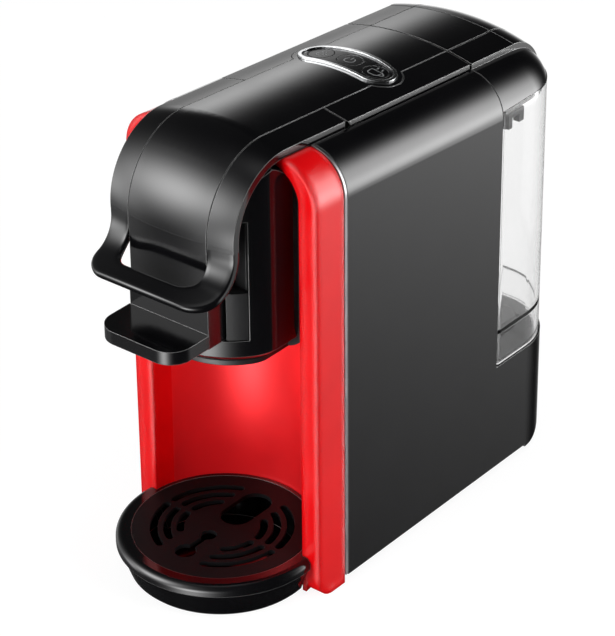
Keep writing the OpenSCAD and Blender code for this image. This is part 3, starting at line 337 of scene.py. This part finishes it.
def u_shape(half, low, radius):
    """Points (x, s) of a U from its right top, round the bottom, to its left top."""
    top = FLARE_TOP - ARM_CUT
    side = [(half, top + (low - radius - top) * i / SIDE_STEPS) for i in range(SIDE_STEPS)]
    turns = [math.pi / 2 * i / CORNER_STEPS for i in range(CORNER_STEPS)]
    side += [(half - radius + radius * math.cos(a), low - radius + radius * math.sin(a))
             for a in turns]
    bar = [((half - radius) * (1 - 2 * i / BAR_STEPS), low) for i in range(BAR_STEPS + 1)]
    return side + bar + [(-x, s) for x, s in reversed(side)]


def band_section(width, r):
    """Outline of the band's section as (way across, depth), with edges of radius r."""
    turns = [math.pi / 2 * i / EDGE_STEPS for i in range(EDGE_STEPS + 1)]
    far, low = width - r, BAND_T - r
    section = [(i / FLAT_STEPS * (far - r) + r, 0.0) for i in range(FLAT_STEPS + 1)]
    section += [(far + r * math.sin(a), r - r * math.cos(a)) for a in turns[1:]]
    section += [(far + r * math.cos(a), low + r * math.sin(a)) for a in turns]
    section += [(r - r * math.sin(a), low + r * math.cos(a)) for a in turns]
    section += [(r - r * math.cos(a), r - r * math.sin(a)) for a in turns[:-1]]
    return section


def add_band(shape):
    """Adds the flared band to a bmesh, section by section round the U."""
    front = arm_front()
    outer = u_shape(ARM_OUT, BAND_LENGTH, OUTER_CORNER)
    inner = u_shape(ARM_IN, BAND_LENGTH - BAR_WIDTH, INNER_CORNER)
    rows = []
    for (x_out, s_out), (x_in, s_in) in zip(outer, inner):
        width = math.hypot(x_in - x_out, s_in - s_out)
        toward_bar = max(0.0, min(1.0, s_out / (EDGE_GROWTH * BAND_LENGTH)))
        row = []
        for way, depth in band_section(width, ARM_EDGE + (BAR_EDGE - ARM_EDGE) * toward_bar):
            x = x_out + (x_in - x_out) * way / width
            s = s_out + (s_in - s_out) * way / width
            bowed = s - FRONT_BOW * bow(x) * max(0.0, s / BAND_LENGTH)
            row.append(shape.verts.new(band_point(front, x, bowed, depth)))
        rows.append(row)
    for first, second in zip(rows, rows[1:]):
        for i, corner in enumerate(first):
            j = (i + 1) % len(first)
            shape.faces.new((corner, second[i], second[j], first[j]))


def make_lever(materials):
    """The CAD lever down to the flare, then the flared band, in place of the CAD lever."""
    shape = bmesh.new()
    shape.from_mesh(nodes["lever"].data)
    shape.transform(nodes["lever"].matrix_world)
    everything = shape.verts[:] + shape.edges[:] + shape.faces[:]
    bmesh.ops.bisect_plane(shape, geom=everything, plane_co=(0, 0, ARM_CUT * MM),
                           plane_no=(0, 0, 1), clear_inner=True)
    add_band(shape)
    mesh = bpy.data.meshes.new("lever_band")
    shape.to_mesh(mesh)
    shape.free()
    paint(mesh, materials["black_gloss"])
    piece = add_object("lever_band", mesh)
    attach(piece, "lever_body")
    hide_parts("lever")


# ---------------------------------------------------------------- signs on the keys
SIGN_LINE = 0.6              # mm, width of the printed lines
SIGN_LIFT = 0.04             # mm above the key


def arc_points(x, y, radius, start, end, count=24):
    """Points of an arc between two angles in degrees."""
    turns = [math.radians(start + (end - start) * i / count) for i in range(count + 1)]
    return [(x + radius * math.cos(a), y + radius * math.sin(a)) for a in turns]


def cup_sign(size):
    """A cup with a handle and steam, in mm from the middle of its key."""
    left = [(-2.6, 1.2), (-2.3, -1.9), (-1.4, -2.7)]
    body = left + [(-x, y) for x, y in reversed(left)] + left[:1]
    handle = [(2.5, 0.6)] + arc_points(2.9, -0.4, 1.0, 80, -80, 10) + [(2.35, -1.4)]
    steam = [[(x, 2.1), (x + 0.3, 2.7), (x - 0.2, 3.3), (x + 0.1, 3.9)] for x in (-1.1, 1.1)]
    return [[(x * size, y * size) for x, y in line] for line in [body, handle] + steam]


POWER_SIGN = [arc_points(0, -0.2, 2.8, 125, 415), [(0, 0.6), (0, 3.7)]]


def line_edges(line):
    """Both edges of a printed line: at each of its points, the place on either side."""
    last = len(line) - 1
    for i, (x, y) in enumerate(line):
        before, after = line[max(i - 1, 0)], line[min(i + 1, last)]
        if line[0] == line[-1] and i in (0, last):
            before, after = line[-2], line[1]
        way = Vector((after[0] - before[0], after[1] - before[1])).normalized()
        for side in (-1, 1):
            half = side * SIGN_LINE / 2
            yield x - way.y * half, y + way.x * half


def sign(name, lines, key, body, materials):
    """Printed lines that lie on the top of a key and go with its body."""
    tree, corners = surface(nodes[key])
    middle = [(min(v[i] for v in corners) + max(v[i] for v in corners)) / 2 for i in range(2)]
    points, faces = [], []
    for line in lines:
        first = len(points)
        for x, y in line_edges(line):
            place = (middle[0] + x * MM, middle[1] + y * MM)
            top = tree.ray_cast((*place, 1), (0, 0, -1))[0].z
            points.append((*place, top + SIGN_LIFT * MM))
        faces += [(i, i + 2, i + 3, i + 1) for i in range(first, len(points) - 2, 2)]
    mesh = bpy.data.meshes.new(name)
    mesh.from_pydata(points, [], faces)
    mesh.materials.append(materials["icon_grey"])
    piece = add_object(name, mesh)
    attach(piece, body)


def make_signs(materials):
    """A small cup, a power sign and a large cup on the three keys."""
    sign("sign_small_cup", cup_sign(0.9), "button_small", "key_small", materials)
    sign("sign_power", POWER_SIGN, "button_power", "key_power", materials)
    sign("sign_large_cup", cup_sign(1.3), "button_large", "key_large", materials)


# ---------------------------------------------------------------- studio
MIDDLE = Vector((0, 0, 0.12))            # what the lamps face


def area_light(name, toward, distance, size, power):
    """Soft box in a direction from the machine's middle, turned to face it, in metres and
    watts. It lights matt surfaces only: glossy ones show the studio's panels."""
    data = bpy.data.lights.new(name, "AREA")
    data.shape = "RECTANGLE"
    data.size, data.size_y = size
    data.energy = power
    lamp = add_object(name, data)
    way = Vector(toward).normalized()
    lamp.location = MIDDLE + way * distance
    lamp.rotation_mode = "QUATERNION"
    lamp.rotation_quaternion = way.to_track_quat("Z", "Y")
    lamp.visible_glossy = False


def feed(tree, value, socket):
    """Gives an input its value, which is a number or another node's output."""
    if isinstance(value, (int, float)):
        socket.default_value = value
    else:
        tree.links.new(value, socket)


def math_node(tree, operation, first, second):
    """Result of a Math node with two inputs."""
    node = tree.nodes.new("ShaderNodeMath")
    node.operation = operation
    feed(tree, first, node.inputs[0])
    feed(tree, second, node.inputs[1])
    return node.outputs[0]


def along(tree, direction, vector):
    """Length of the direction along a fixed vector."""
    node = tree.nodes.new("ShaderNodeVectorMath")
    node.operation = "DOT_PRODUCT"
    tree.links.new(direction, node.inputs[0])
    node.inputs[1].default_value = vector
    return node.outputs["Value"]


def soft_panel(tree, direction, azimuth, elevation, width, height, strength):
    """Brightness of a soft-edged panel in the studio. Azimuth 0 is in front of the machine
    and 90 on its right; width and height are half angles in degrees."""
    a, e = math.radians(azimuth), math.radians(elevation)
    middle = Vector((math.sin(a) * math.cos(e), -math.cos(a) * math.cos(e), math.sin(e)))
    side = Vector((math.cos(a), math.sin(a), 0))
    up = side.cross(-middle).normalized()
    across = math_node(tree, "DIVIDE", along(tree, direction, side), math.sin(math.radians(width)))
    high = math_node(tree, "DIVIDE", along(tree, direction, up), math.sin(math.radians(height)))
    spread = math_node(tree, "ADD", math_node(tree, "MULTIPLY", across, across),
                       math_node(tree, "MULTIPLY", high, high))
    glow = math_node(tree, "POWER", math.e, math_node(tree, "MULTIPLY", spread, -1.0))
    facing = math_node(tree, "GREATER_THAN", along(tree, direction, middle), 0.0)
    return math_node(tree, "MULTIPLY", math_node(tree, "MULTIPLY", glow, facing), strength)


# Panels that shine in the glossy parts: azimuth, elevation, half width, half height, strength
PANELS = {
    "front": (-35, 20, 25, 22, 10.0),
    "left": (-63, -8, 12, 14, 3.0),
    "rear_left": (-138, 13, 6, 6.5, 2.0),
    "rear_right": (141, 10, 14, 18, 6.0),
    "rear_right_low": (141, -10, 14, 12.5, 7.0),
    "front_low": (6, -20, 18, 17, 11.0),
    "left_low": (-145, -14, 16, 16, 1.5),
    "left_wide": (-98, -8, 26, 18, 0.8),
    "top": (-40, 88, 14, 14, 0.7),
}
DARK_STUDIO = 0.015          # what glossy parts see between the panels
EVEN_LIGHT = 0.16            # what matt parts get from all round
BACKDROP = 1.0
FLOOR_HALF = 6.0             # m
FLOOR_TONE = 0.95
FLOOR_GLOW = 1.11            # the floor's own white, where the camera sees it
FLOOR_GLOW_SHARE = 0.82      # the rest of the floor's look is lit, and takes the shadow


def seen_rays(tree, path):
    """1 for rays from the camera, straight or through clear parts."""
    return math_node(tree, "MAXIMUM", path["Is Camera Ray"], path["Is Transmission Ray"])


def white_light(tree, kind, strength):
    """White Background or Emission shader."""
    node = tree.nodes.new(kind)
    node.inputs["Color"].default_value = (1, 1, 1, 1)
    feed(tree, strength, node.inputs["Strength"])
    return node.outputs[0]


def mixed(tree, factor, first, second):
    """Shader that goes from the first to the second as the factor goes from 0 to 1."""
    node = tree.nodes.new("ShaderNodeMixShader")
    for value, socket in zip((factor, first, second), node.inputs):
        tree.links.new(value, socket)
    return node.outputs[0]


def make_world():
    """White for what the camera sees, even light for matt parts, panels for glossy ones."""
    world = bpy.data.worlds.new("studio")
    bpy.context.scene.world = world
    world.use_nodes = True
    tree = world.node_tree
    tree.nodes.clear()
    direction = tree.nodes.new("ShaderNodeTexCoord").outputs["Generated"]
    total = DARK_STUDIO
    for panel in PANELS.values():
        total = math_node(tree, "ADD", soft_panel(tree, direction, *panel), total)
    path = tree.nodes.new("ShaderNodeLightPath").outputs
    shiny = white_light(tree, "ShaderNodeBackground", total)
    even = white_light(tree, "ShaderNodeBackground", EVEN_LIGHT)
    backdrop = white_light(tree, "ShaderNodeBackground", BACKDROP)
    lit = mixed(tree, path["Is Glossy Ray"], even, shiny)
    output = tree.nodes.new("ShaderNodeOutputWorld")
    tree.links.new(mixed(tree, seen_rays(tree, path), lit, backdrop), output.inputs["Surface"])


def floor_material():
    """Pale matt floor with a glow of its own. It is clear to glossy parts."""
    material = bpy.data.materials.new("floor_white")
    material.use_nodes = True
    tree = material.node_tree
    tree.nodes.clear()
    path = tree.nodes.new("ShaderNodeLightPath").outputs
    matt = tree.nodes.new("ShaderNodeBsdfDiffuse")
    matt.inputs["Color"].default_value = (FLOOR_TONE, FLOOR_TONE, FLOOR_TONE, 1)
    glow = white_light(tree, "ShaderNodeEmission", FLOOR_GLOW)
    share = math_node(tree, "MULTIPLY", seen_rays(tree, path), FLOOR_GLOW_SHARE)
    solid = mixed(tree, share, matt.outputs[0], glow)
    clear = tree.nodes.new("ShaderNodeBsdfTransparent").outputs[0]
    output = tree.nodes.new("ShaderNodeOutputMaterial")
    tree.links.new(mixed(tree, path["Is Glossy Ray"], solid, clear), output.inputs["Surface"])
    return material


def make_floor():
    """Floor that keeps a soft shadow. Glossy parts see the studio's panels through it."""
    corners = [(x * FLOOR_HALF, y * FLOOR_HALF, 0) for x, y in ((-1, -1), (1, -1), (1, 1), (-1, 1))]
    mesh = bpy.data.meshes.new("floor")
    mesh.from_pydata(corners, [], [(0, 1, 2, 3)])
    mesh.materials.append(floor_material())
    floor = add_object("floor", mesh)


def make_lights():
    """Soft boxes in front of the machine, on its right and above it."""
    area_light("front_box", (-0.12, -0.97, 0.22), 1.6, (0.4, 0.6), 19)
    area_light("right_box", (1.0, 0.05, 0.4), 1.8, (0.6, 1.0), 17)
    area_light("top_box", (0.1, 0.1, 1.0), 1.6, (1.0, 1.0), 8)


# ---------------------------------------------------------------- build
make_camera()
materials = make_materials()
dress_nodes(materials)
make_lever(materials)
make_signs(materials)
make_world()
make_floor()
make_lights()
bpy.context.scene.view_settings.view_transform = "Standard"
